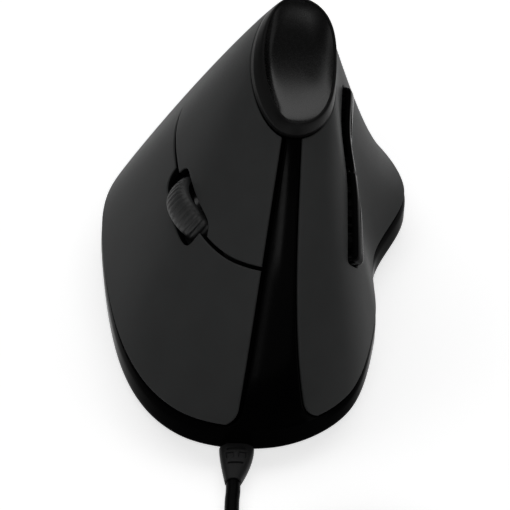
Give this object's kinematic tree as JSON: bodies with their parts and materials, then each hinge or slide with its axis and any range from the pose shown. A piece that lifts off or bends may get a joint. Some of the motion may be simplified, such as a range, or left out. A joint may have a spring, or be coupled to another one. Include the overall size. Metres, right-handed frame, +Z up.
{
  "type": "vertical computer mouse",
  "caption": "Upright pointing device for the right hand: a leaning housing with finger keys, scroll wheel, thumb keys, dished crown and a corded plug.",
  "frame": {"origin": "on the table, under the middle of the housing without its cable", "axes": "+X to the finger side, +Y to the front where the cable leaves, +Z up"},
  "size_m": [0.0945, 0.22, 0.0741],
  "materials": {
    "matte_shell": "fine matte, soft touch",
    "gloss_frame": "polished",
    "thumb_key": "polished",
    "crown_ring": "satin",
    "crown_gloss": "polished",
    "base_plate": "fine texture",
    "glide": "slick",
    "screw": "plated",
    "circuit_board": "lacquered",
    "chip": "moulded",
    "lens": "clear",
    "lamp": "clear red",
    "connector": "moulded",
    "inner_plastic": "moulded",
    "switch_body": "moulded",
    "plunger": "moulded",
    "tread": "ribbed",
    "wheel_core": "moulded",
    "flat_cable": "flexible",
    "relief": "satin",
    "cable": "satin",
    "tie": "satin",
    "plug_grip": "fine matte",
    "plug_metal": "plated"
  },
  "bodies": {
    "housing": {"base_frame": "gloss_frame", "palm_shell": "matte_shell", "thumb_shell": "matte_shell", "crown_bezel": "crown_ring", "crown_dish": "crown_gloss", "bottom_plate": "base_plate", "front_glide": "glide", "rear_glide": "glide", "housing_screws": "screw", "main_board": "circuit_board", "sensor_chip": "chip", "sensor_lens": "lens", "sensor_led": "lamp", "controller_chip": "chip", "cable_header": "connector", "finger_carrier": "inner_plastic", "finger_board": "circuit_board", "upper_switch": "switch_body", "lower_switch": "switch_body", "cradle_pin": "screw", "wheel_encoder": "switch_body", "wheel_switch": "switch_body", "thumb_board": "circuit_board", "thumb_switch_rear": "switch_body", "thumb_switch_front": "switch_body", "finger_ribbon": "flat_cable", "thumb_ribbon": "flat_cable", "board_screws": "screw", "strain_relief": "relief", "inner_lead": "cable", "cable_lead": "cable", "cable_coil": "cable", "cable_tie": "tie", "cable_tail": "cable", "usb_overmould": "plug_grip", "usb_shell": "plug_metal", "usb_tongue": "connector"},
    "upper_key": {"upper_key": "matte_shell"},
    "lower_key": {"lower_key": "matte_shell"},
    "wheel_cradle": {"wheel_cradle": "inner_plastic"},
    "wheel": {"wheel_tyre": "tread", "wheel_hub": "wheel_core"},
    "thumb_key_rear": {"thumb_key_rear": "thumb_key"},
    "thumb_key_front": {"thumb_key_front": "thumb_key"},
    "upper_plunger": {"upper_plunger": "plunger"},
    "lower_plunger": {"lower_plunger": "plunger"},
    "wheel_plunger": {"wheel_plunger": "plunger"},
    "thumb_plunger_rear": {"thumb_plunger_rear": "plunger"},
    "thumb_plunger_front": {"thumb_plunger_front": "plunger"}
  },
  "joints": [
    {"name": "upper_key_press", "type": "hinge", "parent": "housing", "child": "upper_key", "pos_m": [0.00691, -0.0121, 0.05467], "axis": [-0.5045, 0.2615, 0.8229], "range_deg": [0, 0.9], "stiffness_Nm_per_rad": 0.9, "springref_deg": -0.69},
    {"name": "lower_key_press", "type": "hinge", "parent": "housing", "child": "lower_key", "pos_m": [0.02413, -0.02106, 0.02594], "axis": [-0.489, 0.2551, 0.8341], "range_deg": [0, 0.45], "stiffness_Nm_per_rad": 3.6, "springref_deg": -0.34},
    {"name": "wheel_click", "type": "hinge", "parent": "housing", "child": "wheel_cradle", "pos_m": [0.00545, 0.02772, 0.03152], "axis": [0.6085, 0.0801, -0.7895], "range_deg": [0, 1], "stiffness_Nm_per_rad": 0.9, "springref_deg": -0.69},
    {"name": "wheel_spin", "type": "hinge", "parent": "wheel_cradle", "child": "wheel", "pos_m": [0.01171, 0.01656, 0.03521], "axis": [-0.6085, -0.0801, 0.7895], "continuous": true},
    {"name": "thumb_rear_press", "type": "slide", "parent": "housing", "child": "thumb_key_rear", "axis": [0.99, -0.042, -0.1347], "range_m": [0, 0.0007], "stiffness_N_per_m": 900, "springref_m": -0.0006},
    {"name": "thumb_front_press", "type": "slide", "parent": "housing", "child": "thumb_key_front", "axis": [0.99, -0.042, -0.1347], "range_m": [0, 0.0007], "stiffness_N_per_m": 900, "springref_m": -0.0006},
    {"name": "upper_plunger_travel", "type": "slide", "parent": "housing", "child": "upper_plunger", "axis": [-0.7569, -0.2402, -0.6078], "range_m": [0, 0.000355]},
    {"name": "lower_plunger_travel", "type": "slide", "parent": "housing", "child": "lower_plunger", "axis": [-0.7569, -0.2402, -0.6078], "range_m": [0, 0.000378]},
    {"name": "wheel_plunger_travel", "type": "slide", "parent": "housing", "child": "wheel_plunger", "axis": [-0.7569, -0.2402, -0.6078], "range_m": [0, 0.000497]},
    {"name": "thumb_rear_plunger_travel", "type": "slide", "parent": "housing", "child": "thumb_plunger_rear", "axis": [0.99, -0.042, -0.1347], "range_m": [0, 0.000745]},
    {"name": "thumb_front_plunger_travel", "type": "slide", "parent": "housing", "child": "thumb_plunger_front", "axis": [0.99, -0.042, -0.1347], "range_m": [0, 0.000745]}
  ],
  "couplings": [
    {"joint": "upper_plunger_travel", "follows": "upper_key_press", "m_per_rad": 0.020918},
    {"joint": "lower_plunger_travel", "follows": "lower_key_press", "m_per_rad": 0.04464},
    {"joint": "wheel_plunger_travel", "follows": "wheel_click", "m_per_rad": 0.0266},
    {"joint": "thumb_rear_plunger_travel", "follows": "thumb_rear_press", "ratio": 1},
    {"joint": "thumb_front_plunger_travel", "follows": "thumb_front_press", "ratio": 1}
  ]
}
